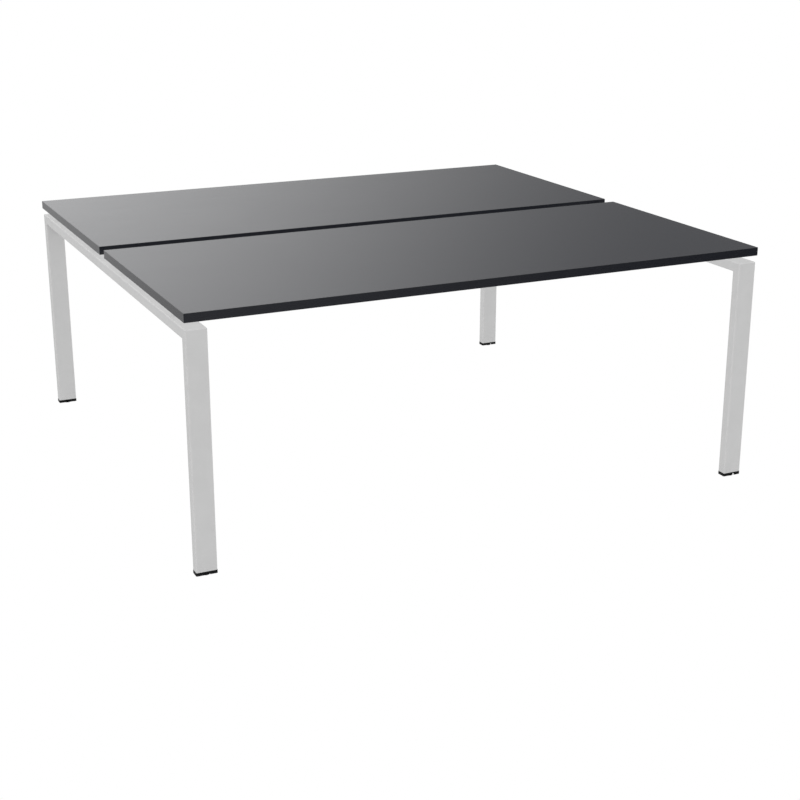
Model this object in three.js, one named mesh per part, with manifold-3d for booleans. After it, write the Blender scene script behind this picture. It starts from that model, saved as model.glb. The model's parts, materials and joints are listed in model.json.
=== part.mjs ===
// Benching desk for two: two work tops that face each other across a cable slot, on two welded end frames.
// Millimetres. X runs along the desk, Y across both places from near to far, Z up from the floor.
// The origin is on the floor under the middle of the desk.

import * as THREE from 'three';
import { mergeVertices } from 'three/addons/utils/BufferGeometryUtils.js';
import Module from 'manifold-3d';

// Work tops
const deskHeight = 736;
const topLength = 1800;
const topDepth = 800;
const topThickness = 25;
const cableSlot = 52;
const bandThickness = 2;
const bandEasing = 0.5;
const topCornerRadius = 1.5;

// End frames
const tubeWide = 60;
const tubeThin = 30;
const tubeWall = 2;
const tubeRadius = 3;
const endInset = 2.5;
const frontInset = 3.5;
const topGap = 20;

// Beams, end plates and their bolts
const beamWide = 50;
const plateThickness = 5;
const plateMargin = 12;
const boltDiameter = 8;
const boltOffset = 12;
const boltReach = 14;
const boltHeadAcross = 13;
const boltHeadHeight = 5.5;
const boltFlangeDiameter = 17;
const boltFlangeHeight = 1.5;

// Spacers and the screws that hold the tops
const spacerDiameter = 20;
const spacerFromEdge = 150;
const spacerPitchOnBeam = 620;
const screwDiameter = 6;
const screwBite = 15;
const screwHeadDiameter = 12;
const screwHeadHeight = 4;
const screwSocketAcross = 4;
const screwSocketDepth = 2.4;

// Levelling feet
const padDiameter = 25;
const padThickness = 5;
const padProud = 2.5;
const padEasing = 0.8;
const socketDepth = 2.2;
const stemDiameter = 8;
const spigotDiameter = 7;
const collarAcross = 14;
const collarThickness = 3.6;
const capCeiling = 2.7;
const capSkirt = 2.4;
const capLip = 0.6;
const capNotchWidth = 17;
const capLintel = 1.4;
const plugDepth = 26;

// Clearances
const seatGap = 0.05;
const weldSeam = 0.3;
const holeClearance = 0.25;
const tipClearance = 1.5;
const plugClearance = 0.2;
const glideClearance = 0.4;
const stemClearance = 0.1;
const overcut = 1;

// Facets of round work
const arcSteps = 3;
const padSides = 24;
const spacerSides = 16;
const boltSides = 12;
const hexSides = 6;
const leastRadius = 0.5;

// Worked-out places
const topEndX = topLength / 2;
const slotEdgeY = cableSlot / 2;
const topFrontY = slotEdgeY + topDepth;
const topMiddleY = slotEdgeY + topDepth / 2;
const frameEndX = topEndX - endInset;
const railX = frameEndX - tubeWide / 2;
const railInnerX = frameEndX - tubeWide;
const frameFrontY = topFrontY - frontInset;
const legY = frameFrontY - tubeThin / 2;
const topUnderZ = deskHeight - topThickness;
const frameTopZ = topUnderZ - topGap;
const railZ = frameTopZ - tubeThin / 2;
const railUnderZ = frameTopZ - tubeThin;

const boreRadius = Math.max(tubeRadius - tubeWall, leastRadius);
const mitreStep = weldSeam * Math.SQRT1_2;
const boltFromMiddle = beamWide / 2 + boltOffset;

const collarFloorZ = padThickness + glideClearance;
const ceilingZ = collarFloorZ + collarThickness + glideClearance;
const legFootZ = ceilingZ + capCeiling;
const plugTopZ = legFootZ + plugDepth;

const places = [['near', -1], ['far', 1]];
const ends = [['left', -1], ['right', 1]];
const sides = [['front', -1], ['back', 1]];

// Places of the spacers: on the rails near both long edges of each top, and along its beam.
const spacerPlaces = [];
for (const [place, placeSign] of places) {
  const middleY = placeSign * topMiddleY;
  const fromMiddle = topDepth / 2 - spacerFromEdge;
  for (const [end, endSign] of ends) {
    for (const [side, sideSign] of sides) {
      const name = `${place}_${end}_${side}`;
      const y = middleY + sideSign * fromMiddle;
      spacerPlaces.push({ name, place, on: `${end}_rail`, x: endSign * railX, y });
    }
    const name = `${place}_beam_${end}`;
    const x = endSign * spacerPitchOnBeam / 2;
    spacerPlaces.push({ name, place, on: `${place}_beam`, x, y: middleY });
  }
}

// Places of the plate bolts along each rail.
const boltPlaces = places.flatMap(([, placeSign]) => (
  sides.map(([, sideSign]) => placeSign * topMiddleY + sideSign * boltFromMiddle)
));

const wasm = await Module();
wasm.setup();

const finishes = {
  facedBoard: { color: 0x2c2d31, roughness: 0.35, metalness: 0 },
  edgeBand: { color: 0x25262a, roughness: 0.45, metalness: 0 },
  coatedSteel: { color: 0xc8c8c8, roughness: 0.5, metalness: 0.1 },
  zincSteel: { color: 0xa9abad, roughness: 0.35, metalness: 0.9 },
  blackPlastic: { color: 0x1a1a1b, roughness: 0.6, metalness: 0 },
  blackSteel: { color: 0x2a2a2c, roughness: 0.45, metalness: 0.8 },
};

const desk = new THREE.Group();

// Turns a closed geometry into a solid that can be cut and joined.
function solidOf(geometry) {
  const bare = geometry.clone();
  bare.deleteAttribute('normal');
  bare.deleteAttribute('uv');
  const merged = mergeVertices(bare);
  const corners = merged.index.array;
  const kept = [];
  for (let i = 0; i < corners.length; i += 3) {
    const [a, b, c] = corners.slice(i, i + 3);
    if (a !== b && b !== c && c !== a) kept.push(a, b, c);
  }
  const mesh = new wasm.Mesh({
    numProp: 3,
    vertProperties: merged.attributes.position.array,
    triVerts: Uint32Array.from(kept),
  });
  return new wasm.Manifold(mesh);
}

// Turns a solid back into a geometry.
function geometryOf(solid) {
  const mesh = solid.getMesh();
  const geometry = new THREE.BufferGeometry();
  geometry.setAttribute('position', new THREE.BufferAttribute(mesh.vertProperties, 3));
  geometry.setIndex(new THREE.BufferAttribute(mesh.triVerts, 1));
  return geometry;
}

// The first geometry with the others cut out of it.
function cut(geometry, ...tools) {
  return geometryOf(tools.reduce((solid, tool) => solid.subtract(solidOf(tool)), solidOf(geometry)));
}

// All the geometries as one body.
function joined(geometry, ...others) {
  return geometryOf(others.reduce((solid, other) => solid.add(solidOf(other)), solidOf(geometry)));
}

// What two geometries share.
function shared(geometry, other) {
  return geometryOf(solidOf(geometry).intersect(solidOf(other)));
}

// Adds a geometry to a group as a named piece with its own material.
function addPiece(group, name, geometry, finish) {
  const material = new THREE.MeshStandardMaterial({ ...finishes[finish], flatShading: true });
  const piece = new THREE.Mesh(geometry, material);
  piece.name = name;
  group.add(piece);
}

// Adds an empty group to the desk at a place.
function groupAt(x, y, z) {
  const group = new THREE.Group();
  group.position.set(x, y, z);
  desk.add(group);
  return group;
}

// Block centred on X and Y between two heights.
function block(sizeX, sizeY, low, high) {
  return new THREE.BoxGeometry(sizeX, sizeY, high - low).translate(0, 0, (low + high) / 2);
}

// Upright round bar on the Z axis.
function bar(diameter, low, high, facets = boltSides) {
  const radius = diameter / 2;
  const cylinder = new THREE.CylinderGeometry(radius, radius, high - low, facets);
  return cylinder.rotateX(Math.PI / 2).translate(0, 0, (low + high) / 2);
}

// Upright round hole whose flats stay clear of a bar of the given diameter.
function hole(diameter, clearance, low, high, facets = boltSides) {
  const acrossFlats = diameter + 2 * clearance;
  return bar(acrossFlats / Math.cos(Math.PI / facets), low, high, facets);
}

// Upright six-sided bar, measured across its flats.
function hexBar(across, low, high) {
  return bar(across / Math.cos(Math.PI / hexSides), low, high, hexSides);
}

// Round piece turned about the Z axis from [radius, z] points that start and end on the axis.
function turned(points) {
  const profile = points.map(([radius, z]) => new THREE.Vector2(radius, z));
  return new THREE.LatheGeometry(profile, padSides).rotateX(Math.PI / 2);
}

// Outline of a rectangle with round corners, centred on the origin.
function roundedRectangle(wide, high, radius, outline = new THREE.Shape()) {
  const x = wide / 2;
  const y = high / 2;
  const r = Math.min(radius, x, y);
  outline.moveTo(-x + r, -y);
  outline.lineTo(x - r, -y);
  outline.absarc(x - r, -y + r, r, -Math.PI / 2, 0);
  outline.lineTo(x, y - r);
  outline.absarc(x - r, y - r, r, 0, Math.PI / 2);
  outline.lineTo(-x + r, y);
  outline.absarc(-x + r, y - r, r, Math.PI / 2, Math.PI);
  outline.lineTo(-x, -y + r);
  outline.absarc(-x + r, -y + r, r, Math.PI, 1.5 * Math.PI);
  return outline;
}

// Straight length of an outline, upright along Z.
function extruded(outline, low, high) {
  const options = { depth: high - low, bevelEnabled: false, curveSegments: arcSteps };
  return new THREE.ExtrudeGeometry(outline, options).translate(0, 0, low);
}

// Upright rectangular tube with rounded corners, open at both ends.
function tube(wide, high, low, top) {
  const section = roundedRectangle(wide, high, tubeRadius);
  const bore = new THREE.Path();
  roundedRectangle(wide - 2 * tubeWall, high - 2 * tubeWall, boreRadius, bore);
  section.holes.push(bore);
  return extruded(section, low, top);
}

// Side view of a piece, drawn as [Y, Z], made solid across the whole width of an end frame.
function acrossFrame(outline) {
  const half = tubeWide / 2 + overcut;
  return extruded(outline, -half, half).rotateX(Math.PI / 2).rotateZ(Math.PI / 2);
}

// Work top: a faced board inside its edge band, with blind holes for the screws.
function addTop(place, middleY, screwPlaces) {
  const group = groupAt(0, middleY, 0);
  const coreLength = topLength - 2 * bandThickness;
  const coreDepth = topDepth - 2 * bandThickness;
  const coreRadius = Math.max(topCornerRadius - bandThickness, leastRadius);
  const core = extruded(roundedRectangle(coreLength, coreDepth, coreRadius), topUnderZ, deskHeight);
  const blindTopZ = topUnderZ + screwBite + tipClearance;
  const blinds = screwPlaces.map(({ x, y }) => {
    const blind = hole(screwDiameter, holeClearance, topUnderZ - overcut, blindTopZ);
    return blind.translate(x, y - middleY, 0);
  });
  addPiece(group, `${place}_top_board`, cut(core, ...blinds), 'facedBoard');

  const easedLength = topLength - 2 * bandEasing;
  const easedDepth = topDepth - 2 * bandEasing;
  const easedRadius = Math.max(topCornerRadius - bandEasing, leastRadius);
  const bandOuter = new THREE.ExtrudeGeometry(roundedRectangle(easedLength, easedDepth, easedRadius), {
    depth: topThickness - 2 * bandEasing,
    bevelThickness: bandEasing,
    bevelSize: bandEasing,
    bevelSegments: 2,
    curveSegments: arcSteps,
  }).translate(0, 0, topUnderZ + bandEasing);
  const opening = roundedRectangle(coreLength + 2 * seatGap, coreDepth + 2 * seatGap, coreRadius);
  const band = cut(bandOuter, extruded(opening, topUnderZ - overcut, deskHeight + overcut));
  addPiece(group, `${place}_edge_band`, band, 'edgeBand');
}

// Side view of a back leg: plain at the foot, cut at 45 degrees under the rounded upper corner.
function legSide() {
  const outer = tubeThin / 2;
  const inner = -outer - overcut;
  const cornerY = outer - tubeRadius;
  const cornerZ = frameTopZ - tubeRadius;
  const outline = new THREE.Shape();
  outline.moveTo(inner, legFootZ);
  outline.lineTo(outer, legFootZ);
  outline.lineTo(outer, cornerZ - mitreStep);
  outline.absarc(cornerY, cornerZ - mitreStep, tubeRadius, 0, Math.PI / 4);
  outline.lineTo(inner, railUnderZ - overcut - mitreStep);
  return acrossFrame(outline);
}

// Side view of a rail: cut at 45 degrees at both ends, with the upper corners rounded.
function railSide() {
  const cornerY = frameFrontY - tubeRadius - mitreStep;
  const cornerZ = frameTopZ - tubeRadius;
  const lowY = frameFrontY - tubeThin - overcut - mitreStep;
  const lowZ = railUnderZ - overcut;
  const outline = new THREE.Shape();
  outline.moveTo(-lowY, lowZ);
  outline.lineTo(lowY, lowZ);
  outline.absarc(cornerY, cornerZ, tubeRadius, Math.PI / 4, Math.PI / 2);
  outline.absarc(-cornerY, cornerZ, tubeRadius, Math.PI / 2, 0.75 * Math.PI);
  return acrossFrame(outline);
}

// End frame: two legs and a rail of the same tube, mitred at the upper corners.
function addEndFrame(end, endSign) {
  const group = groupAt(endSign * railX, 0, 0);
  const backLeg = shared(tube(tubeWide, tubeThin, legFootZ, frameTopZ), legSide()).translate(0, legY, 0);
  addPiece(group, `${end}_front_leg`, backLeg.clone().rotateZ(Math.PI), 'coatedSteel');
  addPiece(group, `${end}_back_leg`, backLeg, 'coatedSteel');

  const length = tube(tubeWide, tubeThin, -frameFrontY, frameFrontY).rotateX(Math.PI / 2);
  const mitred = shared(length.translate(0, 0, railZ), railSide());
  const screwHoles = spacerPlaces.filter((spacer) => spacer.on === `${end}_rail`).map(({ y }) => {
    const drilled = hole(screwDiameter, holeClearance, railUnderZ - overcut, frameTopZ + overcut);
    return drilled.translate(0, y, 0);
  });
  const boltHoles = boltPlaces.map((y) => {
    const wallX = tubeWide / 2;
    const drilled = hole(boltDiameter, holeClearance, wallX - tubeWall - overcut, wallX + overcut);
    return facing(drilled, -endSign).translate(0, y, railZ);
  });
  addPiece(group, `${end}_rail`, cut(mitred, ...screwHoles, ...boltHoles), 'coatedSteel');
}

// Lays an upright geometry along the desk, with its top towards +X or -X.
function facing(geometry, sign) {
  return geometry.rotateY(sign * Math.PI / 2);
}

// Beam under the middle of a top, between the end plates that are welded to it.
function addBeam(place, middleY) {
  const group = groupAt(0, middleY, 0);
  const endX = railInnerX - seatGap - plateThickness - weldSeam;
  const length = facing(tube(tubeThin, beamWide, -endX, endX), 1).translate(0, 0, railZ);
  const screwHoles = spacerPlaces.filter((spacer) => spacer.on === `${place}_beam`).map(({ x }) => {
    const drilled = hole(screwDiameter, holeClearance, railUnderZ - overcut, frameTopZ + overcut);
    return drilled.translate(x, 0, 0);
  });
  addPiece(group, `${place}_beam`, cut(length, ...screwHoles), 'coatedSteel');
}

// End plate with its two flanged bolts, on the inner face of a rail.
function addEndPlate(place, end, endSign, middleY) {
  const group = groupAt(endSign * (railInnerX - seatGap), middleY, railZ);
  const plateWide = 2 * (boltFromMiddle + plateMargin);
  const outline = roundedRectangle(tubeThin, plateWide, tubeRadius);
  const blank = facing(extruded(outline, 0, plateThickness), -endSign);
  const boltHoles = sides.map(([, sideSign]) => {
    const drilled = hole(boltDiameter, holeClearance, -overcut, plateThickness + overcut);
    return facing(drilled, -endSign).translate(0, sideSign * boltFromMiddle, 0);
  });
  addPiece(group, `${place}_${end}_end_plate`, cut(blank, ...boltHoles), 'coatedSteel');

  const seat = plateThickness + seatGap;
  const flangeTop = seat + boltFlangeHeight;
  const shank = bar(boltDiameter, -boltReach, flangeTop);
  const flange = bar(boltFlangeDiameter, seat, flangeTop);
  const head = hexBar(boltHeadAcross, seat, flangeTop + boltHeadHeight);
  const bolt = facing(joined(shank, flange, head), -endSign);
  for (const [side, sideSign] of sides) {
    const placed = bolt.clone().translate(0, sideSign * boltFromMiddle, 0);
    addPiece(group, `${place}_${end}_plate_bolt_${side}`, placed, 'zincSteel');
  }
}

// Spacer between tube and top, with the screw that passes through both.
function addSpacer(name, x, y) {
  const group = groupAt(x, y, 0);
  const lowZ = frameTopZ + seatGap;
  const highZ = topUnderZ - seatGap;
  const bore = hole(screwDiameter, holeClearance, lowZ - overcut, highZ + overcut);
  addPiece(group, `${name}_spacer`, cut(bar(spacerDiameter, lowZ, highZ, spacerSides), bore), 'coatedSteel');

  const headTopZ = railUnderZ - seatGap;
  const headLowZ = headTopZ - screwHeadHeight;
  const shank = bar(screwDiameter, headTopZ - overcut, topUnderZ + screwBite);
  const head = bar(screwHeadDiameter, headLowZ, headTopZ);
  const socket = hexBar(screwSocketAcross, headLowZ - overcut, headLowZ + screwSocketDepth);
  addPiece(group, `${name}_screw`, cut(joined(shank, head), socket), 'zincSteel');
}

// End cap of a leg: a skirt with a notch for a spanner under each lintel, and a plug with the stem's thread.
function footCap() {
  const wide = tubeWide + 2 * capLip;
  const thin = tubeThin + 2 * capLip;
  const plugInset = 2 * (tubeWall + plugClearance);
  const outer = extruded(roundedRectangle(wide, thin, tubeRadius + capLip), padProud, legFootZ - seatGap);
  const hollowOutline = roundedRectangle(wide - 2 * capSkirt, thin - 2 * capSkirt, tubeRadius);
  const hollow = extruded(hollowOutline, padProud - overcut, ceilingZ);
  const padPocket = hole(padDiameter, glideClearance, padProud - overcut, ceilingZ, padSides);
  const notch = block(capNotchWidth, thin + 2 * overcut, padProud - overcut, ceilingZ - capLintel);
  const plugOutline = roundedRectangle(tubeWide - plugInset, tubeThin - plugInset, boreRadius);
  const plug = extruded(plugOutline, ceilingZ, plugTopZ);
  const thread = hole(stemDiameter, stemClearance, padProud - overcut, plugTopZ + overcut);
  return cut(joined(cut(outer, hollow, padPocket, notch), plug), thread);
}

// Round glide pad with a blind socket that the end of the stem turns in.
function glidePad() {
  const radius = padDiameter / 2;
  const socketRadius = (spigotDiameter / 2 + stemClearance) / Math.cos(Math.PI / padSides);
  return turned([
    [0, 0],
    [radius - padEasing, 0],
    [radius, padEasing],
    [radius, padThickness - padEasing],
    [radius - padEasing, padThickness],
    [socketRadius, padThickness],
    [socketRadius, padThickness - socketDepth],
    [0, padThickness - socketDepth],
  ]);
}

// Threaded stem with a collar for a spanner and a spigot that stands in the pad.
function glideStem() {
  const collarTopZ = collarFloorZ + collarThickness;
  const collar = hexBar(collarAcross, collarFloorZ, collarTopZ);
  const spigot = bar(spigotDiameter, padThickness - socketDepth + seatGap, collarFloorZ + overcut);
  const shank = bar(stemDiameter, collarTopZ - overcut, plugTopZ);
  return joined(collar, spigot, shank);
}

// Levelling foot at the end of a leg.
function addFoot(name, x, y) {
  const group = groupAt(x, y, 0);
  addPiece(group, `${name}_foot_cap`, footCap(), 'blackPlastic');
  addPiece(group, `${name}_glide_pad`, glidePad(), 'blackPlastic');
  addPiece(group, `${name}_glide_stem`, glideStem(), 'blackSteel');
}

// Tops with their beams and end plates
for (const [place, placeSign] of places) {
  const middleY = placeSign * topMiddleY;
  addTop(place, middleY, spacerPlaces.filter((spacer) => spacer.place === place));
  addBeam(place, middleY);
  for (const [end, endSign] of ends) addEndPlate(place, end, endSign, middleY);
}

// Spacers and their screws
for (const { name, x, y } of spacerPlaces) addSpacer(name, x, y);

// End frames with their feet
for (const [end, endSign] of ends) {
  addEndFrame(end, endSign);
  for (const [side, sideSign] of sides) addFoot(`${end}_${side}`, endSign * railX, sideSign * legY);
}

export default desk;
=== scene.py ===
"""Looks of the benching desk for two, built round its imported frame. Metres, +Z up, origin on the floor."""

import json
import math

import bmesh
import bpy
from mathutils import Matrix, Vector


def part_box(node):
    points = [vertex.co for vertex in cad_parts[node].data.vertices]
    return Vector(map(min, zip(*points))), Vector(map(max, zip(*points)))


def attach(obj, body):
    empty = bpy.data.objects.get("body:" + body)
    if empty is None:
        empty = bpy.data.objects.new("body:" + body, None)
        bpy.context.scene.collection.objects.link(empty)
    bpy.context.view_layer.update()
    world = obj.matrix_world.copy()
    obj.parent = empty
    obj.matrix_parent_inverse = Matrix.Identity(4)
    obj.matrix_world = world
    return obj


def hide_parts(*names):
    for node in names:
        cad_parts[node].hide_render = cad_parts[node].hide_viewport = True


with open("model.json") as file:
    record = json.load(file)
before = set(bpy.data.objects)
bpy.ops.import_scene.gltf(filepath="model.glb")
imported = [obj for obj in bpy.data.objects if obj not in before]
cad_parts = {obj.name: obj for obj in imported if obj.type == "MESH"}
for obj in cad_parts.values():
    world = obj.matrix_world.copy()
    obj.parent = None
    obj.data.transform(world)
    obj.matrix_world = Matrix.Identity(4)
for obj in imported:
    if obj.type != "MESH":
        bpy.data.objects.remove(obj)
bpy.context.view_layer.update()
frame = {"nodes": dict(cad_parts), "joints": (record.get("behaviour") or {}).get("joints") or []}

MM = 0.001
SAME_PLACE = 1e-6
X, Y, Z = range(3)

ENDS = ("left", "right")
SIDES = ("front", "back")
PLACES = ("near", "far")

# Tubes, plates and tops
TUBE_RADIUS = 3 * MM
TUBE_WALL = 2 * MM
TUBE_BORE = 60 * MM
ROUND_STEPS = 6
EASING_STEPS = 3
BAND_CORNER = 1.5 * MM
BAND_EASING = 0.5 * MM
BAND_RIM = 1.45 * MM
PLATE_EASING = 0.5 * MM
WELD_LEG = 2.5 * MM
WELD_ROUND = 2.4 * MM
WELD_ROOT = 0.3 * MM

# Spacers, bolts and screws: round sizes are radii, and hexagons are across their flats
TURN_STEPS = 48
SPACER_BORE = 3.25 * MM
SPACER_CHAMFER = 0.8 * MM
BOLT_SHANK = 4 * MM
BOLT_ROOT = 3.4 * MM
BOLT_PITCH = 1.25 * MM
BOLT_THREAD = 10 * MM
BOLT_FLANGE = 8.5 * MM
BOLT_FLANGE_EDGE = 0.9 * MM
BOLT_FLANGE_EASING = 0.3 * MM
BOLT_RIM = 7.8 * MM
BOLT_WASHER = 1.4 * MM
BOLT_HEX = 13 * MM
BOLT_HEAD = 7 * MM
BOLT_HEAD_EASING = 0.7 * MM
BOLT_DISH_RIM = 0.9 * MM
BOLT_DISH = 0.35 * MM
SCREW_SHANK = 3 * MM
SCREW_ROOT = 2.3 * MM
SCREW_PITCH = 2.5 * MM
SCREW_THREAD = 16 * MM
SCREW_HEAD = 6 * MM
SCREW_HEAD_HEIGHT = 4 * MM
SCREW_CROWN = 2 * MM
SCREW_EASING = 0.2 * MM
SCREW_RIM = 2.7 * MM
SCREW_KEY = 4 * MM
SCREW_KEY_LEAD_IN = 0.25 * MM
SCREW_KEY_DEPTH = 2.4 * MM

# Levelling feet: the same kinds of sizes, with the ceiling of the cap and the collar as heights
CAP_CEILING = 9.4 * MM
CAP_SKIRT = 2.4 * MM
CAP_NOTCH_HALF = 8.5 * MM
CAP_LINTEL = 1.4 * MM
CAP_CORNER = 3.6 * MM
CAP_EASING = 0.25 * MM
CAP_SEAT = 0.05 * MM
PLUG_INSET = 2.8 * MM
THREAD_HOLE = 4.1 * MM
PAD_EASING = 0.8 * MM
PAD_RIM = 2.6 * MM
PAD_RECESS = 0.3 * MM
PAD_RECESS_SLOPE = 0.5 * MM
PAD_SOCKET = 3.6 * MM
PAD_SOCKET_DEPTH = 2.2 * MM
STEM_CREST = 3.98 * MM
STEM_ROOT = 3.4 * MM
STEM_PITCH = 1.25 * MM
SPIGOT = 3.5 * MM
COLLAR_HEX = 14 * MM
COLLAR_LOW = 5.4 * MM
COLLAR_HIGH = 9 * MM
COLLAR_EASING = 0.5 * MM

# Threads, with the lead-in and the two flats as shares of the pitch
THREAD_STEPS = 24
THREAD_LEAD_IN = 0.3
THREAD_CREST_FLAT = 1 / 8
THREAD_ROOT_FLAT = 1 / 4

# Camera, with lens and sensor in millimetres, worked out from the desk's parallel edges in the photograph
CAMERA_PLACE = (-1.9447, -4.3498, 1.7241)
CAMERA_AZIMUTH = 25.095
CAMERA_ELEVATION = -18.532
CAMERA_LENS = 66.817
CAMERA_REACH = 200
SENSOR = 36.0

# Studio: how bright it is, and the degrees round the desk, from straight behind it, where that changes
FLOOR_SIZE = 120
FLOOR_GLOW = 0.9
FLOOR_TONE = 0.3
SKY_SIDES = 0.9
SKY_OVERHEAD = 1.7
SOFTBOX = 1.46
SOFTBOX_DEGREES = (-24, 0)
FLAG = 0.2
FLAG_DEGREES = (2.5, 36.5)
FILL_DEGREES = (95, 140)
BELOW_BEHIND = (0.45, 0.85)
BELOW_FRONT = (0.0, 0.46)
BELOW_DEGREES = (140, 170)

# Heights and depths in the studio, as parts of a direction of length one
OVERHEAD_HEIGHTS = (0.3, 0.8)
HORIZON_HEIGHTS = (-0.04, 0.04)
BELOW_HEIGHTS = (-0.32, -0.12)
BELOW_DEPTHS = (-0.3, 0.3)

# Shading
SMOOTH_DEGREES = 32
SHARP_DEGREES = 40
FLAT_WEIGHT = 100

# Colours of the finishes: the two shades that mottle each one, and where it is flecked or worn, with rounded
# edges lighter as wear and as a painted highlight
FACING_SHADES = ((0.0134, 0.0148, 0.0206), (0.0146, 0.0161, 0.0222))
FACING_FLECKS = (0.021, 0.0228, 0.0295)
EDGE_SHADES = ((0.0066, 0.0074, 0.0108), (0.0076, 0.0084, 0.0118))
EDGE_RUBBED_AND_HIGHLIT = (0.0105, 0.0113, 0.0153)
COAT_SHADES = ((0.434, 0.434, 0.434), (0.446, 0.446, 0.446))
COAT_RUBBED_AND_HIGHLIT = (0.475, 0.475, 0.475)
PLASTIC_SHADES = ((0.0055, 0.0055, 0.0059), (0.0075, 0.0075, 0.008))
PLASTIC_RUBBED_AND_HIGHLIT = (0.0105, 0.0105, 0.011)
PLASTIC_SCUFFED = (0.016, 0.016, 0.016)
ZINC_SHADES = ((0.56, 0.575, 0.61), (0.64, 0.63, 0.59))
OXIDE_SHADES = ((0.02, 0.02, 0.022), (0.034, 0.033, 0.032))
OXIDE_BARE = (0.2, 0.2, 0.2)

# Gloss of the finishes: roughness, what wear takes from it or adds to it, and weaker reflections
FACING_ROUGHNESS = (0.214, 0.226)
EDGE_ROUGHNESS = (0.25, 0.31)
EDGE_POLISH = 0.03
COAT_ROUGHNESS = (0.58, 0.68)
COAT_POLISH = 0.06
COAT_SPECULAR = 0.4
PLASTIC_ROUGHNESS = (0.46, 0.58)
PLASTIC_SCUFFING = 0.15
PLASTIC_SPECULAR = 0.13
ZINC_ROUGHNESS = (0.24, 0.4)
OXIDE_ROUGHNESS = (0.34, 0.5)
OXIDE_METALLIC = 0.85

# Noise in the finishes: spans of it that show, and shares of what it makes
NOISE_SPAN = (0.3, 0.7)
STREAK_SPAN = (0.35, 0.65)
STREAK_SHARE = 0.4
FLECK_SPAN = (0.58, 0.72)
SCRATCH_SPAN = (0.5, 0.68)
SCUFF_HEIGHTS = (0, 4 * MM)
WEAR_SPAN = (0.56, 0.72)
BARE_SHARES = (0.0, 0.7)
# How much of a rounded edge gets the painted highlight and wear, at least and at most
RUBBED_AND_HIGHLIT_SHARES = (0.35, 1.0)
EDGE_GRAIN_SHARE = 0.5
COAT_GRAIN_SHARE = 0.35


def feed(tree, socket, value):
    """Links a socket to another one, or sets it to a plain value."""
    if isinstance(value, bpy.types.NodeSocket):
        tree.links.new(value, socket)
    else:
        socket.default_value = value


def math_node(tree, operation, first, second):
    """A Math node with two inputs that are sockets or numbers."""
    node = tree.nodes.new("ShaderNodeMath")
    node.operation = operation
    feed(tree, node.inputs[0], first)
    feed(tree, node.inputs[1], second)
    return node.outputs[0]


def between(tree, share, first, second):
    """Value that goes from the first to the second with the share. Both are sockets or numbers."""
    way = math_node(tree, "SUBTRACT", second, first)
    return math_node(tree, "ADD", first, math_node(tree, "MULTIPLY", share, way))


def change(tree, value, span, results=(0.0, 1.0)):
    """A smooth change from the first to the second result while the value goes through its span."""
    node = tree.nodes.new("ShaderNodeMapRange")
    node.interpolation_type = "SMOOTHSTEP"
    tree.links.new(value, node.inputs["Value"])
    for label, number in zip(("From Min", "From Max", "To Min", "To Max"), (*span, *results)):
        node.inputs[label].default_value = number
    return node.outputs["Result"]


def add_camera():
    """Camera at the photograph's viewing angle."""
    data = bpy.data.cameras.new("camera")
    data.lens = CAMERA_LENS
    data.sensor_width = SENSOR
    data.clip_end = CAMERA_REACH
    camera = bpy.data.objects.new("camera", data)
    bpy.context.scene.collection.objects.link(camera)
    azimuth = math.radians(CAMERA_AZIMUTH)
    elevation = math.radians(CAMERA_ELEVATION)
    look = Vector((
        math.sin(azimuth) * math.cos(elevation),
        math.cos(azimuth) * math.cos(elevation),
        math.sin(elevation),
    ))
    camera.location = CAMERA_PLACE
    camera.rotation_euler = look.to_track_quat("-Z", "Y").to_euler()
    bpy.context.scene.camera = camera


def add_white_room():
    """Soft light from all sides, brightest behind on the left. The room itself looks plain white."""
    scene = bpy.context.scene
    scene.view_settings.view_transform = "Standard"
    scene.cycles.use_denoising = True

    world = bpy.data.worlds.new("white_room")
    scene.world = world
    world.use_nodes = True
    tree = world.node_tree
    background = tree.nodes["Background"]
    direction = tree.nodes.new("ShaderNodeTexCoord").outputs["Generated"]
    split = tree.nodes.new("ShaderNodeSeparateXYZ")
    tree.links.new(direction, split.inputs[0])
    x, y, z = split.outputs
    turn = math_node(tree, "ARCTAN2", x, y)

    def across(degrees, results):
        """Change with the direction round the desk."""
        return change(tree, turn, map(math.radians, degrees), results)

    softbox = across(SOFTBOX_DEGREES, (SKY_SIDES, SOFTBOX))
    flag = across(FLAG_DEGREES, (0.0, FLAG - SOFTBOX))
    fill = across(FILL_DEGREES, (0.0, SKY_SIDES - FLAG))
    sides = math_node(tree, "ADD", math_node(tree, "ADD", softbox, flag), fill)
    sky = between(tree, change(tree, z, OVERHEAD_HEIGHTS), sides, SKY_OVERHEAD)

    behind = change(tree, z, BELOW_HEIGHTS, BELOW_BEHIND)
    front = across(BELOW_DEGREES, BELOW_FRONT)
    below = between(tree, change(tree, y, BELOW_DEPTHS), front, behind)
    light = between(tree, change(tree, z, HORIZON_HEIGHTS), below, sky)
    seen = tree.nodes.new("ShaderNodeLightPath").outputs["Is Camera Ray"]
    background.inputs["Color"].default_value = (1, 1, 1, 1)
    tree.links.new(between(tree, seen, light, 1.0), background.inputs["Strength"])


def mix_shaders(tree, share, first, second):
    """Mix of two shaders."""
    node = tree.nodes.new("ShaderNodeMixShader")
    for socket, source in zip(node.inputs, (share, first, second)):
        tree.links.new(source, socket)
    return node.outputs[0]


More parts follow.
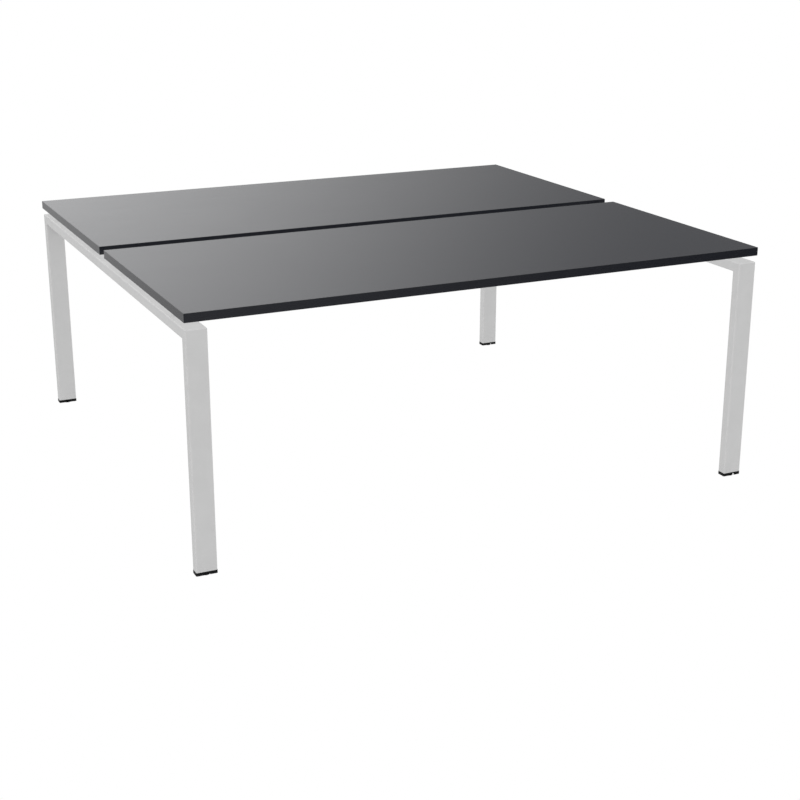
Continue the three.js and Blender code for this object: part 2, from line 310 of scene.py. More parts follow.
def make_white_floor():
    """Material of the floor: plain white to the camera, a soft glow to the desk, and clear from below."""
    material = bpy.data.materials.new("white_floor")
    material.use_nodes = True
    tree = material.node_tree
    shader = tree.nodes["Principled BSDF"]
    shader.inputs["Base Color"].default_value = (FLOOR_TONE, FLOOR_TONE, FLOOR_TONE, 1)
    shader.inputs["Roughness"].default_value = 1
    shader.inputs["Specular IOR Level"].default_value = 0
    shader.inputs["Emission Color"].default_value = (1, 1, 1, 1)
    shader.inputs["Emission Strength"].default_value = FLOOR_GLOW
    plain = tree.nodes.new("ShaderNodeEmission")
    clear = tree.nodes.new("ShaderNodeBsdfTransparent")
    seen = tree.nodes.new("ShaderNodeLightPath").outputs["Is Camera Ray"]
    behind = tree.nodes.new("ShaderNodeNewGeometry").outputs["Backfacing"]
    above = mix_shaders(tree, seen, shader.outputs[0], plain.outputs[0])
    surface = mix_shaders(tree, behind, above, clear.outputs[0])
    tree.links.new(surface, tree.nodes["Material Output"].inputs["Surface"])
    return material


def add_floor():
    """Plain floor at the level of the pads when screwed right out."""
    reach = max(joint["range_m"][1] for joint in frame["joints"] if joint["type"] == "slide")
    bm = bmesh.new()
    place = Matrix.Translation((0, 0, -reach))
    bmesh.ops.create_grid(bm, x_segments=1, y_segments=1, size=FLOOR_SIZE / 2, matrix=place)
    mesh = bpy.data.meshes.new("floor")
    bm.to_mesh(mesh)
    bm.free()
    mesh.materials.append(make_white_floor())
    floor = bpy.data.objects.new("floor", mesh)
    bpy.context.scene.collection.objects.link(floor)
    floor.visible_glossy = False


# Finishes

def noise(tree, position, scale, detail, stretch=None):
    """Noise texture value, with the scale a socket or a number of bumps to the metre."""
    if stretch is not None:
        mapping = tree.nodes.new("ShaderNodeMapping")
        mapping.inputs["Scale"].default_value = stretch
        tree.links.new(position, mapping.inputs["Vector"])
        position = mapping.outputs["Vector"]
    node = tree.nodes.new("ShaderNodeTexNoise")
    node.inputs["Detail"].default_value = detail
    tree.links.new(position, node.inputs["Vector"])
    feed(tree, node.inputs["Scale"], scale)
    return node.outputs["Fac"]


def blend_colors(tree, factor, first, second):
    """Colour between two given ones."""
    node = tree.nodes.new("ShaderNodeMix")
    node.data_type = "RGBA"
    tree.links.new(factor, node.inputs["Factor"])
    for socket, color in zip([s for s in node.inputs if s.type == "RGBA"], (first, second)):
        feed(tree, socket, (*color, 1) if isinstance(color, tuple) else color)
    return next(s for s in node.outputs if s.type == "RGBA")


def new_group(name, given, made):
    """Empty shader node group with the named sockets."""
    tree = bpy.data.node_groups.new(name, "ShaderNodeTree")
    for label, kind in given:
        tree.interface.new_socket(name=label, in_out="INPUT", socket_type=kind)
    for label in made:
        tree.interface.new_socket(name=label, in_out="OUTPUT", socket_type="NodeSocketFloat")
    return tree, tree.nodes.new("NodeGroupInput").outputs, tree.nodes.new("NodeGroupOutput").inputs


def make_grain_group():
    """Fine bumps over slow unevenness, as on sprayed paint, pressed facing and moulded plastic."""
    given = (("Position", "NodeSocketVector"), ("Bumps", "NodeSocketFloat"), ("Clouds", "NodeSocketFloat"))
    tree, inputs, outputs = new_group("grain", given, ("Height", "Mottle"))
    bumps = noise(tree, inputs["Position"], inputs["Bumps"], detail=2.0)
    clouds = noise(tree, inputs["Position"], inputs["Clouds"], detail=3.0)
    tree.links.new(bumps, outputs["Height"])
    tree.links.new(change(tree, clouds, NOISE_SPAN), outputs["Mottle"])
    return tree


def make_wiping_group():
    """Faint streaks and patches that wiping and hands leave in the sheen."""
    given = (("Position", "NodeSocketVector"), ("Patches", "NodeSocketFloat"))
    tree, inputs, outputs = new_group("wiping", given, ("Sheen",))
    patches = noise(tree, inputs["Position"], inputs["Patches"], detail=4.0)
    streaks = noise(tree, inputs["Position"], inputs["Patches"], detail=3.0, stretch=(1.0, 9.0, 9.0))
    both = between(tree, STREAK_SHARE, patches, streaks)
    tree.links.new(change(tree, both, STREAK_SPAN), outputs["Sheen"])
    return tree


def make_rubbed_and_highlit_group():
    """Rounded edges that are rubbed a little smoother and made brighter, unevenly along their length: the
    brightening is partly wear and partly a painted highlight.
    """
    given = (("Position", "NodeSocketVector"), ("Patches", "NodeSocketFloat"))
    tree, inputs, outputs = new_group("rubbed_and_highlit", given, ("Mask",))
    # Painted highlight and wear: every face that rounds an edge is marked to be made lighter in the finishes
    attribute = tree.nodes.new("ShaderNodeAttribute")
    attribute.attribute_name = "rounded"
    patches = noise(tree, inputs["Position"], inputs["Patches"], detail=3.0)
    uneven = change(tree, patches, NOISE_SPAN, RUBBED_AND_HIGHLIT_SHARES)
    tree.links.new(math_node(tree, "MULTIPLY", attribute.outputs["Fac"], uneven), outputs["Mask"])
    return tree


GRAIN = make_grain_group()
WIPING = make_wiping_group()
RUBBED_AND_HIGHLIT = make_rubbed_and_highlit_group()


def new_finish(name):
    """Material with its shader and a position read from the object's own frame."""
    material = bpy.data.materials.new(name)
    material.use_nodes = True
    tree = material.node_tree
    position = tree.nodes.new("ShaderNodeTexCoord").outputs["Object"]
    return material, tree, tree.nodes["Principled BSDF"], position


def effect(tree, group, position, **values):
    """Places a shared effect in a material with values of its own."""
    node = tree.nodes.new("ShaderNodeGroup")
    node.node_tree = group
    tree.links.new(position, node.inputs["Position"])
    for label, value in values.items():
        node.inputs[label].default_value = value
    return node.outputs


def raise_surface(tree, shader, height, distance, strength):
    """Bumps of the given height over the surface."""
    node = tree.nodes.new("ShaderNodeBump")
    node.inputs["Distance"].default_value = distance
    node.inputs["Strength"].default_value = strength
    tree.links.new(height, node.inputs["Height"])
    tree.links.new(node.outputs["Normal"], shader.inputs["Normal"])


def make_anthracite_facing():
    """Dark facing of the tops: a fine pressed pearl, slightly blue, satin."""
    material, tree, shader, position = new_finish("anthracite_facing")
    grain = effect(tree, GRAIN, position, Bumps=750.0, Clouds=38.0)
    wiping = effect(tree, WIPING, position, Patches=3.2)
    flecks = noise(tree, position, scale=2600.0, detail=1.0)
    speck = change(tree, flecks, FLECK_SPAN)
    base = blend_colors(tree, grain["Mottle"], *FACING_SHADES)
    color = blend_colors(tree, speck, base, FACING_FLECKS)
    tree.links.new(color, shader.inputs["Base Color"])
    tree.links.new(change(tree, wiping["Sheen"], (0.0, 1.0), FACING_ROUGHNESS), shader.inputs["Roughness"])
    raise_surface(tree, shader, grain["Height"], distance=0.012 * MM, strength=0.12)
    return material


def make_anthracite_edge():
    """Dark edge band: drawn lengthwise, with eased edges rubbed smoother and lighter, the lightness partly
    wear and partly a painted highlight.
    """
    material, tree, shader, position = new_finish("anthracite_edge")
    grain = effect(tree, GRAIN, position, Bumps=1400.0, Clouds=60.0)
    rubbed_and_highlit = effect(tree, RUBBED_AND_HIGHLIT, position, Patches=22.0)
    drawn = noise(tree, position, scale=60.0, detail=3.0, stretch=(1.0, 1.0, 40.0))
    base = blend_colors(tree, grain["Mottle"], *EDGE_SHADES)
    # Eased edges lighter: partly wear, partly a painted highlight
    color = blend_colors(tree, rubbed_and_highlit["Mask"], base, EDGE_RUBBED_AND_HIGHLIT)
    tree.links.new(color, shader.inputs["Base Color"])
    rough = change(tree, drawn, NOISE_SPAN, EDGE_ROUGHNESS)
    rough = math_node(tree, "SUBTRACT", rough, math_node(tree, "MULTIPLY", rubbed_and_highlit["Mask"], EDGE_POLISH))
    tree.links.new(rough, shader.inputs["Roughness"])
    height = math_node(tree, "ADD", math_node(tree, "MULTIPLY", grain["Height"], EDGE_GRAIN_SHARE), drawn)
    raise_surface(tree, shader, height, distance=0.01 * MM, strength=0.1)
    return material


def make_light_grey_coat():
    """Powder coat of the frame: light grey, with a soft orange peel, and rounded edges rubbed smoother and
    lighter, partly wear and partly a painted highlight.
    """
    material, tree, shader, position = new_finish("light_grey_coat")
    grain = effect(tree, GRAIN, position, Bumps=520.0, Clouds=24.0)
    fine = effect(tree, GRAIN, position, Bumps=2100.0, Clouds=150.0)
    rubbed_and_highlit = effect(tree, RUBBED_AND_HIGHLIT, position, Patches=30.0)
    base = blend_colors(tree, grain["Mottle"], *COAT_SHADES)
    # Rounded edges lighter: partly wear, partly a painted highlight
    color = blend_colors(tree, rubbed_and_highlit["Mask"], base, COAT_RUBBED_AND_HIGHLIT)
    tree.links.new(color, shader.inputs["Base Color"])
    shader.inputs["Specular IOR Level"].default_value = COAT_SPECULAR
    rough = change(tree, fine["Mottle"], (0.0, 1.0), COAT_ROUGHNESS)
    rough = math_node(tree, "SUBTRACT", rough, math_node(tree, "MULTIPLY", rubbed_and_highlit["Mask"], COAT_POLISH))
    tree.links.new(rough, shader.inputs["Roughness"])
    fine_height = math_node(tree, "MULTIPLY", fine["Height"], COAT_GRAIN_SHARE)
    height = math_node(tree, "ADD", grain["Height"], fine_height)
    raise_surface(tree, shader, height, distance=0.04 * MM, strength=0.35)
    return material


def make_black_moulding():
    """Black plastic of the feet: spark-eroded grain, scuffed grey towards the floor, and rounded edges
    lighter, partly wear and partly a painted highlight.
    """
    material, tree, shader, position = new_finish("black_moulding")
    grain = effect(tree, GRAIN, position, Bumps=1800.0, Clouds=160.0)
    rubbed_and_highlit = effect(tree, RUBBED_AND_HIGHLIT, position, Patches=90.0)
    split = tree.nodes.new("ShaderNodeSeparateXYZ")
    tree.links.new(position, split.inputs[0])
    near_floor = change(tree, split.outputs["Z"], SCUFF_HEIGHTS, (1.0, 0.0))
    scratches = noise(tree, position, scale=320.0, detail=4.0, stretch=(1.0, 1.0, 0.25))
    scuffs = math_node(tree, "MULTIPLY", near_floor, change(tree, scratches, SCRATCH_SPAN))
    base = blend_colors(tree, grain["Mottle"], *PLASTIC_SHADES)
    # Rounded edges lighter: partly wear, partly a painted highlight
    base = blend_colors(tree, rubbed_and_highlit["Mask"], base, PLASTIC_RUBBED_AND_HIGHLIT)
    color = blend_colors(tree, scuffs, base, PLASTIC_SCUFFED)
    tree.links.new(color, shader.inputs["Base Color"])
    shader.inputs["Specular IOR Level"].default_value = PLASTIC_SPECULAR
    rough = change(tree, grain["Height"], NOISE_SPAN, PLASTIC_ROUGHNESS)
    rough = math_node(tree, "ADD", rough, math_node(tree, "MULTIPLY", scuffs, PLASTIC_SCUFFING))
    tree.links.new(rough, shader.inputs["Roughness"])
    raise_surface(tree, shader, grain["Height"], distance=0.03 * MM, strength=0.5)
    return material


def make_bright_zinc():
    """Zinc-plated steel of the bolts and screws: faintly clouded, blue to straw."""
    material, tree, shader, position = new_finish("bright_zinc")
    grain = effect(tree, GRAIN, position, Bumps=1500.0, Clouds=420.0)
    color = blend_colors(tree, grain["Mottle"], *ZINC_SHADES)
    tree.links.new(color, shader.inputs["Base Color"])
    shader.inputs["Metallic"].default_value = 1.0
    tree.links.new(change(tree, grain["Height"], NOISE_SPAN, ZINC_ROUGHNESS), shader.inputs["Roughness"])
    raise_surface(tree, shader, grain["Height"], distance=0.01 * MM, strength=0.3)
    return material


def make_black_oxide():
    """Blackened steel of the stems, rubbed to bare metal here and there."""
    material, tree, shader, position = new_finish("black_oxide")
    grain = effect(tree, GRAIN, position, Bumps=1700.0, Clouds=500.0)
    wear = noise(tree, position, scale=900.0, detail=3.0)
    bare = change(tree, wear, WEAR_SPAN, BARE_SHARES)
    base = blend_colors(tree, grain["Mottle"], *OXIDE_SHADES)
    color = blend_colors(tree, bare, base, OXIDE_BARE)
    tree.links.new(color, shader.inputs["Base Color"])
    shader.inputs["Metallic"].default_value = OXIDE_METALLIC
    tree.links.new(change(tree, grain["Height"], NOISE_SPAN, OXIDE_ROUGHNESS), shader.inputs["Roughness"])
    raise_surface(tree, shader, grain["Height"], distance=0.01 * MM, strength=0.35)
    return material


FINISHES = {
    "faced_board": make_anthracite_facing(),
    "edge_band": make_anthracite_edge(),
    "coated_steel": make_light_grey_coat(),
    "black_plastic": make_black_moulding(),
    "zinc_steel": make_bright_zinc(),
    "black_steel": make_black_oxide(),
}


# Modelling

def new_mesh():
    """Empty mesh with a mark for the faces that round an edge."""
    bm = bmesh.new()
    bm.faces.layers.float.new("rounded")
    return bm


def block(bm, low, high):
    """Box between two corners. Gives its edges."""
    place = Matrix.Translation((low + high) / 2) @ Matrix.Diagonal((*(high - low), 1.0))
    made = bmesh.ops.create_cube(bm, size=1.0, matrix=place)
    return list({edge for vert in made["verts"] for edge in vert.link_edges})


def edges_along(edges, axis):
    """Those edges that run along one axis."""
    found = []
    for edge in edges:
        run = edge.verts[1].co - edge.verts[0].co
        if run.length - abs(run[axis]) < SAME_PLACE:
            found.append(edge)
    return found


def lies_at(item, axis, level):
    """Whether an edge or a face lies at a level on an axis."""
    return all(abs(vert.co[axis] - level) < SAME_PLACE for vert in item.verts)


def edges_at(edges, axis, level):
    """Those edges that lie at a level on an axis."""
    return [edge for edge in edges if lies_at(edge, axis, level)]


def face_at(bm, axis, level):
    """Largest face that lies at a level on an axis."""
    flat = [face for face in bm.faces if lies_at(face, axis, level)]
    return max(flat, key=lambda face: face.calc_area())


def open_edges(bm):
    """Edges with a face on one side only, or on none."""
    return [edge for edge in bm.edges if edge.is_boundary or edge.is_wire]


def sharp_edges(bm):
    """Edges that stand out sharply."""
    bmesh.ops.recalc_face_normals(bm, faces=bm.faces[:])
    limit = math.radians(SHARP_DEGREES)
    return [edge for edge in bm.edges if edge.is_convex and edge.calc_face_angle() > limit]


def round_edges(bm, edges, radius, segments=ROUND_STEPS, mark=1.0):
    """Rounds edges and marks the new faces."""
    made = bmesh.ops.bevel(
        bm, geom=edges, offset=radius, offset_type="OFFSET", segments=segments,
        profile=0.5, affect="EDGES", material=-1,
    )
    rounded = bm.faces.layers.float["rounded"]
    for face in made["faces"]:
        face[rounded] = mark


def made_items(made, kind):
    """What an operator made, of one kind."""
    return [item for item in made["geom"] if isinstance(item, kind)]


def draw_out(bm, faces, way):
    """Draws faces out of the surface round them. Gives the moved faces."""
    made = bmesh.ops.extrude_face_region(bm, geom=faces)
    left = [face for face in faces if face.is_valid]
    if left:
        bmesh.ops.delete(bm, geom=left, context="FACES")
    bmesh.ops.translate(bm, vec=way, verts=made_items(made, bmesh.types.BMVert))
    return made_items(made, bmesh.types.BMFace)


def draw_on(bm, way):
    """Draws the open end of a mesh on."""
    made = bmesh.ops.extrude_edge_only(bm, edges=open_edges(bm))
    bmesh.ops.translate(bm, vec=way, verts=made_items(made, bmesh.types.BMVert))


def step_across(bm, level):
    """Fills the flat ring between two open outlines at a level."""
    bmesh.ops.triangle_fill(bm, edges=edges_at(open_edges(bm), Z, level), use_beauty=True)


def shut(bm, level):
    """Closes the open end of a mesh at a level."""
    bmesh.ops.holes_fill(bm, edges=edges_at(open_edges(bm), Z, level), sides=0)


def set_in(bm, face, inset):
    """Sets a face in from its outline. Gives the faces of the rim that this leaves."""
    return bmesh.ops.inset_region(bm, faces=[face], thickness=inset, use_even_offset=True)["faces"]


def cut_away(bm, point, towards):
    """Cuts off what lies beyond a plane and closes the cut."""
    geom = bm.verts[:] + bm.edges[:] + bm.faces[:]
    bmesh.ops.bisect_plane(
        bm, geom=geom, dist=SAME_PLACE, plane_co=point, plane_no=towards, clear_outer=True,
    )
    bmesh.ops.holes_fill(bm, edges=open_edges(bm), sides=0)


def turned(bm, profile, closed=False):
    """Full turn of a profile of (radius, height) points about the upright axis."""
    verts = [bm.verts.new((radius, 0, height)) for radius, height in profile]
    pairs = list(zip(verts, verts[1:]))
    if closed:
        pairs.append((verts[-1], verts[0]))
    edges = [bm.edges.new(pair) for pair in pairs]
    bmesh.ops.spin(
        bm, geom=verts + edges, cent=(0, 0, 0), axis=(0, 0, 1), dvec=(0, 0, 0),
        angle=math.tau, steps=TURN_STEPS, use_merge=True,
    )
    bmesh.ops.remove_doubles(bm, verts=bm.verts[:], dist=SAME_PLACE)
    bmesh.ops.recalc_face_normals(bm, faces=bm.faces[:])


def ring(bm, radius, height):
    """Open circle round the upright axis."""
    place = Matrix.Translation((0, 0, height))
    bmesh.ops.create_circle(bm, cap_ends=False, radius=radius, segments=TURN_STEPS, matrix=place)


def hexagon(bm, across_flats, height):
    """Open hexagon round the upright axis."""
    place = Matrix.Translation((0, 0, height))
    corner = across_flats / math.sqrt(3)
    bmesh.ops.create_circle(bm, cap_ends=False, radius=corner, segments=6, matrix=place)


def thread(bm, low, high, root, crest, pitch):
    """Screw thread between two levels, which runs out to an open circle at each end."""
    first = low + THREAD_LEAD_IN * pitch
    turns = math.floor((high - first) / pitch) - 1
    ridge = (
        (root, 0.0), (root, THREAD_ROOT_FLAT / 2), (crest, 0.5 - THREAD_CREST_FLAT / 2),
        (crest, 0.5 + THREAD_CREST_FLAT / 2), (root, 1 - THREAD_ROOT_FLAT / 2), (root, 1.0),
    )
    verts = [bm.verts.new((radius, 0, first + share * pitch)) for radius, share in ridge]
    edges = [bm.edges.new(pair) for pair in zip(verts, verts[1:])]
    bmesh.ops.spin(
        bm, geom=verts + edges, cent=(0, 0, 0), axis=(0, 0, 1), dvec=(0, 0, pitch / THREAD_STEPS),
        angle=math.tau * turns, steps=THREAD_STEPS * turns,
    )
    bmesh.ops.remove_doubles(bm, verts=bm.verts[:], dist=SAME_PLACE)
    for level in (low, high):
        end = [edge for edge in open_edges(bm) if abs(edge.verts[0].co.z - level) < (high - low) / 2]
        drawn = bmesh.ops.extrude_edge_only(bm, edges=end)
        for vert in made_items(drawn, bmesh.types.BMVert):
            vert.co.xy = vert.co.xy.normalized() * root
            vert.co.z = level
        bmesh.ops.remove_doubles(bm, verts=bm.verts[:], dist=SAME_PLACE)
        bmesh.ops.dissolve_degenerate(bm, dist=SAME_PLACE, edges=bm.edges[:])


def add_piece(name, bm, slot, node, body="desk"):
    """Finished piece in a node's place: smooth over its roundings, flat elsewhere, riding on its body."""
    mesh = bpy.data.meshes.new(name)
    bm.to_mesh(mesh)
    bm.free()
    mesh.materials.append(FINISHES[slot])
    for polygon in mesh.polygons:
        polygon.use_smooth = True
    mesh.set_sharp_from_angle(angle=math.radians(SMOOTH_DEGREES))
    piece = bpy.data.objects.new(name, mesh)
    bpy.context.scene.collection.objects.link(piece)
    weighted = piece.modifiers.new("flat_faces", "WEIGHTED_NORMAL")
    weighted.keep_sharp = True
    weighted.weight = FLAT_WEIGHT
    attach(piece, body)
    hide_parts(node)
    return piece


# Tops

def add_edge_band(place):
    """Band round a top, with its corners rounded and its edges eased."""
    node = f"{place}_edge_band"
    low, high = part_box(node)
    bm = new_mesh()
    round_edges(bm, edges_along(block(bm, low, high), Z), BAND_CORNER)
    rims = edges_at(bm.edges, Z, low.z) + edges_at(bm.edges, Z, high.z)
    round_edges(bm, rims, BAND_EASING, EASING_STEPS)
    for level in (low.z, high.z):
        face = face_at(bm, Z, level)
        set_in(bm, face, BAND_RIM)
        bmesh.ops.delete(bm, geom=[face], context="FACES_ONLY")
    bmesh.ops.bridge_loops(bm, edges=open_edges(bm))
    bmesh.ops.recalc_face_normals(bm, faces=bm.faces[:])
    return add_piece(f"{place}_eased_band", bm, "edge_band", node)


def add_tops():
    """Faced boards in their bands. Soft light reaches the frame below them, as in the photograph."""
    for place in PLACES:
        board = frame["nodes"][f"{place}_top_board"]
        board.data.materials.clear()
        board.data.materials.append(FINISHES["faced_board"])
        for piece in (board, add_edge_band(place)):
            piece.visible_shadow = False
            piece.visible_diffuse = False


# End frames

def add_leg(end, side):
    """Leg of an end frame: hollow at the foot, rounded at the upper corner and mitred to the rail."""
    node = f"{end}_{side}_leg"
    low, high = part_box(node)
    high.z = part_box(f"{end}_rail")[1].z
    outer, inwards = (low.y, 1) if side == "front" else (high.y, -1)
    bm = new_mesh()
    edges = block(bm, low, high)
    shoulder = edges_at(edges_at(edges, Y, outer), Z, high.z)
    upper = edges_at(edges_along(edges, Y), Z, high.z)
    round_edges(bm, edges_along(edges, Z) + shoulder + upper, TUBE_RADIUS)
    cut_away(bm, (low.x, outer, high.z), (0, inwards, 1))
    foot = face_at(bm, Z, low.z)
    set_in(bm, foot, TUBE_WALL)
    draw_out(bm, [foot], (0, 0, TUBE_BORE))
    bmesh.ops.recalc_face_normals(bm, faces=bm.faces[:])
    add_piece(f"{end}_{side}_tube_leg", bm, "coated_steel", node)


def add_rail(end):
    """Rail of an end frame, mitred to both legs."""
    node = f"{end}_rail"
    low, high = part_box(node)
    low.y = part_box(f"{end}_front_leg")[0].y
    high.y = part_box(f"{end}_back_leg")[1].y
    bm = new_mesh()
    edges = block(bm, low, high)
    shoulders = edges_at(edges_along(edges, X), Z, high.z)
    round_edges(bm, edges_along(edges, Y) + edges_along(edges, Z) + shoulders, TUBE_RADIUS)
    cut_away(bm, (low.x, low.y, high.z), (0, -1, -1))
    cut_away(bm, (low.x, high.y, high.z), (0, 1, -1))
    bmesh.ops.recalc_face_normals(bm, faces=bm.faces[:])
    add_piece(f"{end}_tube_rail", bm, "coated_steel", node)


# Beams

def add_beam(place):
    """Beam under the middle of a top, with a weld bead up each corner that it makes with a plate."""
    node = f"{place}_beam"
    low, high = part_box(node)
    low.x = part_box(f"{place}_left_end_plate")[1].x
    high.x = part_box(f"{place}_right_end_plate")[0].x
    bm = new_mesh()
    round_edges(bm, edges_along(block(bm, low, high), X), TUBE_RADIUS)
    rise = Vector((0, 0, TUBE_RADIUS))
    for end_x, along in ((low.x, 1), (high.x, -1)):
        for side_y, out in ((low.y, -1), (high.y, 1)):
            near = Vector((end_x, side_y - out * WELD_ROOT, low.z)) + rise
            far = Vector((end_x + along * WELD_LEG, side_y + out * WELD_LEG, high.z)) - rise
            corner = Vector(map(min, near, far)), Vector(map(max, near, far))
            crest = edges_at(edges_at(block(bm, *corner), X, far.x), Y, far.y)
            round_edges(bm, crest, WELD_ROUND)
    add_piece(f"{place}_welded_beam", bm, "coated_steel", node)


def add_end_plate(place, end):
    """Plate that bolts a beam to a rail, with rounded corners and broken edges."""
    node = f"{place}_{end}_end_plate"
    low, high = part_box(node)
    bm = new_mesh()
    round_edges(bm, edges_along(block(bm, low, high), X), TUBE_RADIUS)
    rims = edges_at(bm.edges, X, low.x) + edges_at(bm.edges, X, high.x)
    round_edges(bm, rims, PLATE_EASING, EASING_STEPS)
    add_piece(f"{place}_{end}_plate", bm, "coated_steel", node)


def add_bolt(place, end, side):
    """Flanged hexagon bolt through an end plate into its rail."""
    node = f"{place}_{end}_plate_bolt_{side}"
    low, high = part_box(node)
    length = high.x - low.x
    middle = (low + high) / 2
    seat = length - BOLT_HEAD
    bm = new_mesh()
    thread(bm, 0, BOLT_THREAD, BOLT_ROOT, BOLT_SHANK, BOLT_PITCH)
    shut(bm, 0)
    turned(bm, (
        (BOLT_SHANK, BOLT_THREAD), (BOLT_SHANK, seat), (BOLT_FLANGE, seat),
        (BOLT_FLANGE, seat + BOLT_FLANGE_EDGE), (BOLT_RIM, seat + BOLT_WASHER),
    ))
    step_across(bm, BOLT_THREAD)
    hexagon(bm, BOLT_HEX, seat + BOLT_WASHER)
    step_across(bm, seat + BOLT_WASHER)
    draw_on(bm, (0, 0, BOLT_HEAD - BOLT_WASHER))
    shut(bm, length)
    round_edges(bm, edges_at(sharp_edges(bm), Z, seat), BOLT_FLANGE_EASING, EASING_STEPS)
    round_edges(bm, edges_at(bm.edges, Z, length), BOLT_HEAD_EASING, EASING_STEPS)
    crown = face_at(bm, Z, length)
    set_in(bm, crown, BOLT_DISH_RIM)
    bmesh.ops.translate(bm, vec=(0, 0, -BOLT_DISH), verts=crown.verts)
    facing = Matrix.Rotation(math.pi / 2 if end == "left" else -math.pi / 2, 4, "Y")
    foot = Vector((low.x if end == "left" else high.x, middle.y, middle.z))
    bmesh.ops.transform(bm, matrix=Matrix.Translation(foot) @ facing, verts=bm.verts[:])
    add_piece(f"{place}_{end}_bolt_{side}", bm, "zinc_steel", node)


# Spacers and screws

def add_spacer(name):
    """Turned sleeve between a tube and a top."""
    node = f"{name}_spacer"
    low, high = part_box(node)
    outer = (high.y - low.y) / 2
    tall = high.z - low.z
    chamfer = SPACER_CHAMFER
    bm = new_mesh()
    turned(bm, (
        (SPACER_BORE, 0), (outer - chamfer, 0), (outer, chamfer), (outer, tall - chamfer),
        (outer - chamfer, tall), (SPACER_BORE, tall),
    ), closed=True)
    middle = (low + high) / 2
    bmesh.ops.translate(bm, vec=(middle.x, middle.y, low.z), verts=bm.verts[:])
    add_piece(f"{name}_sleeve", bm, "coated_steel", node)


def add_screw(name):
    """Pan-head screw with a hexagon socket, driven up through tube and spacer into the top."""
    node = f"{name}_screw"
    low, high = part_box(node)
    tip = low.z + SCREW_HEAD_HEIGHT - high.z
    shoulder = tip + SCREW_THREAD
    crown = SCREW_HEAD_HEIGHT
    key = crown - SCREW_KEY_LEAD_IN
    bm = new_mesh()
    thread(bm, tip, shoulder, SCREW_ROOT, SCREW_SHANK, SCREW_PITCH)
    shut(bm, tip)
    turned(bm, (
        (SCREW_SHANK, shoulder), (SCREW_SHANK, 0), (SCREW_HEAD, 0), (SCREW_HEAD, crown), (SCREW_RIM, crown),
    ))
    step_across(bm, shoulder)
    hexagon(bm, SCREW_KEY, key)
    bmesh.ops.bridge_loops(bm, edges=open_edges(bm))
    draw_on(bm, (0, 0, -SCREW_KEY_DEPTH))
    shut(bm, key - SCREW_KEY_DEPTH)
    round_edges(bm, edges_at(sharp_edges(bm), Z, crown), SCREW_CROWN)
    round_edges(bm, edges_at(sharp_edges(bm), Z, 0), SCREW_EASING, EASING_STEPS)
    middle = (low + high) / 2
    seat = Vector((middle.x, middle.y, low.z + SCREW_HEAD_HEIGHT))
    over = Matrix.Rotation(math.pi, 4, "X")
    bmesh.ops.transform(bm, matrix=Matrix.Translation(seat) @ over, verts=bm.verts[:])
    add_piece(f"{name}_pan_screw", bm, "zinc_steel", node)


# Levelling feet

def add_cap(leg):
    """End cap of a leg: a skirt with a spanner notch under each lintel, and a plug with the stem's hole."""
    node = f"{leg}_foot_cap"
    low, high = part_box(node)
    tube_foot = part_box(f"{leg}_leg")[0].z - CAP_SEAT
    middle = (low + high) / 2
    at_axis = Vector((middle.x, middle.y, 0))
    bm = new_mesh()
    slab_low = Vector((low.x, low.y, CAP_CEILING)) - at_axis
    slab_high = Vector((high.x, high.y, tube_foot)) - at_axis
    round_edges(bm, edges_along(block(bm, slab_low, slab_high), Z), CAP_CORNER, mark=0.0)

    plug = face_at(bm, Z, tube_foot)
    set_in(bm, plug, PLUG_INSET)
    plug = draw_out(bm, [plug], (0, 0, high.z - tube_foot))[0]
    ceiling = face_at(bm, Z, CAP_CEILING)
    rim = set_in(bm, ceiling, CAP_SKIRT)
    bmesh.ops.delete(bm, geom=[plug, ceiling], context="FACES_ONLY")
    for level in (CAP_CEILING, high.z):
        ring(bm, THREAD_HOLE, level)
        step_across(bm, level)
    bmesh.ops.bridge_loops(bm, edges=open_edges(bm))

    for cut in (-CAP_NOTCH_HALF, CAP_NOTCH_HALF):
        edges = {edge for face in rim for edge in face.edges}
        made = bmesh.ops.bisect_plane(
            bm, geom=[*edges, *rim], dist=SAME_PLACE, plane_co=(cut, 0, 0), plane_no=(1, 0, 0),
        )
        rim = made_items(made, bmesh.types.BMFace)
    lintel_level = draw_out(bm, rim, (0, 0, -CAP_LINTEL))
    skirt = [face for face in lintel_level if abs(face.calc_center_median().x) > CAP_NOTCH_HALF]
    draw_out(bm, skirt, (0, 0, low.z - CAP_CEILING + CAP_LINTEL))
    sharp = sharp_edges(bm)
    under = [edge for edge in sharp if max(vert.co.z for vert in edge.verts) < CAP_CEILING - SAME_PLACE]
    round_edges(bm, under + edges_at(sharp, Z, tube_foot), CAP_EASING, EASING_STEPS)
    bmesh.ops.translate(bm, vec=at_axis, verts=bm.verts[:])
    add_piece(f"{leg}_end_cap", bm, "black_plastic", node)


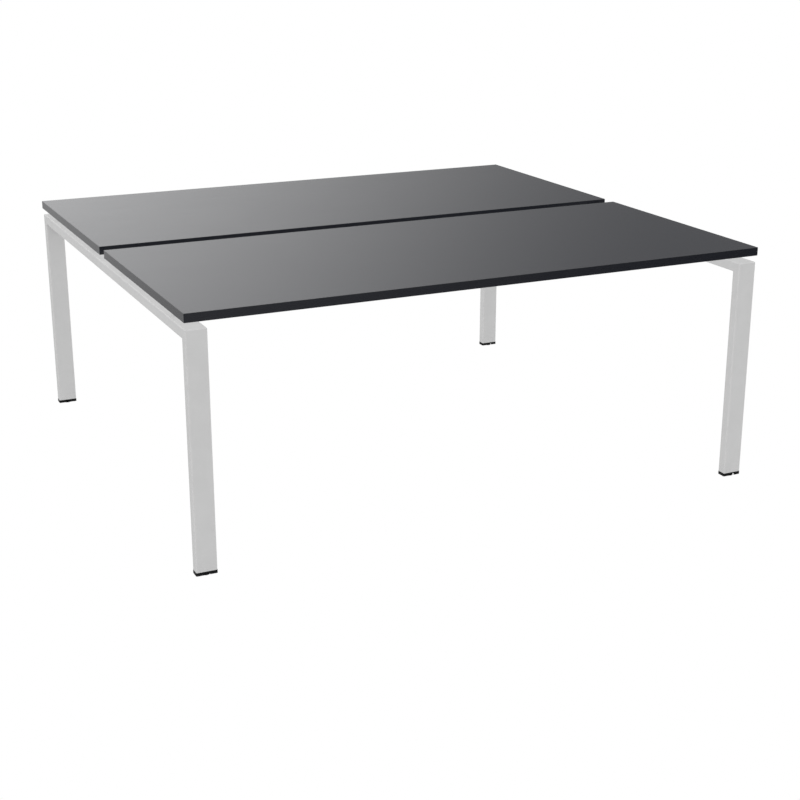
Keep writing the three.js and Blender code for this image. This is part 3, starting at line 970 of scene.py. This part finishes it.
def add_pad(leg):
    """Round glide pad with the socket of the stem."""
    node = f"{leg}_glide_pad"
    low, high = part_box(node)
    radius = (high.x - low.x) / 2
    recess = radius - PAD_RIM
    socket_end = high.z - PAD_SOCKET_DEPTH
    bm = new_mesh()
    turned(bm, (
        (0, PAD_RECESS), (recess - PAD_RECESS_SLOPE, PAD_RECESS), (recess, 0), (radius, 0),
        (radius, high.z), (PAD_SOCKET, high.z), (PAD_SOCKET, socket_end), (0, socket_end),
    ))
    round_edges(bm, sharp_edges(bm), PAD_EASING, EASING_STEPS)
    middle = (low + high) / 2
    bmesh.ops.translate(bm, vec=(middle.x, middle.y, 0), verts=bm.verts[:])
    add_piece(f"{leg}_glide", bm, "black_plastic", node, body=f"{leg}_pad")


def add_stem(leg):
    """Threaded stem with a hexagon collar and the spigot that stands in the pad."""
    node = f"{leg}_glide_stem"
    low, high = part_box(node)
    bm = new_mesh()
    thread(bm, COLLAR_HIGH, high.z, STEM_ROOT, STEM_CREST, STEM_PITCH)
    shut(bm, high.z)
    hexagon(bm, COLLAR_HEX, COLLAR_HIGH)
    step_across(bm, COLLAR_HIGH)
    draw_on(bm, (0, 0, COLLAR_LOW - COLLAR_HIGH))
    ring(bm, SPIGOT, COLLAR_LOW)
    step_across(bm, COLLAR_LOW)
    draw_on(bm, (0, 0, low.z - COLLAR_LOW))
    shut(bm, low.z)
    sharp = sharp_edges(bm)
    eased = [edge for level in (low.z, COLLAR_LOW, COLLAR_HIGH) for edge in edges_at(sharp, Z, level)]
    round_edges(bm, eased, COLLAR_EASING, EASING_STEPS)
    middle = (low + high) / 2
    bmesh.ops.translate(bm, vec=(middle.x, middle.y, 0), verts=bm.verts[:])
    add_piece(f"{leg}_threaded_stem", bm, "black_steel", node, body=f"{leg}_stem")


add_camera()
add_white_room()
add_floor()
add_tops()
for end in ENDS:
    add_rail(end)
    for side in SIDES:
        add_leg(end, side)
        add_cap(f"{end}_{side}")
        add_pad(f"{end}_{side}")
        add_stem(f"{end}_{side}")
for place in PLACES:
    add_beam(place)
    for end in ENDS:
        add_end_plate(place, end)
        add_spacer(f"{place}_beam_{end}")
        add_screw(f"{place}_beam_{end}")
        for side in SIDES:
            add_bolt(place, end, side)
            add_spacer(f"{place}_{end}_{side}")
            add_screw(f"{place}_{end}_{side}")
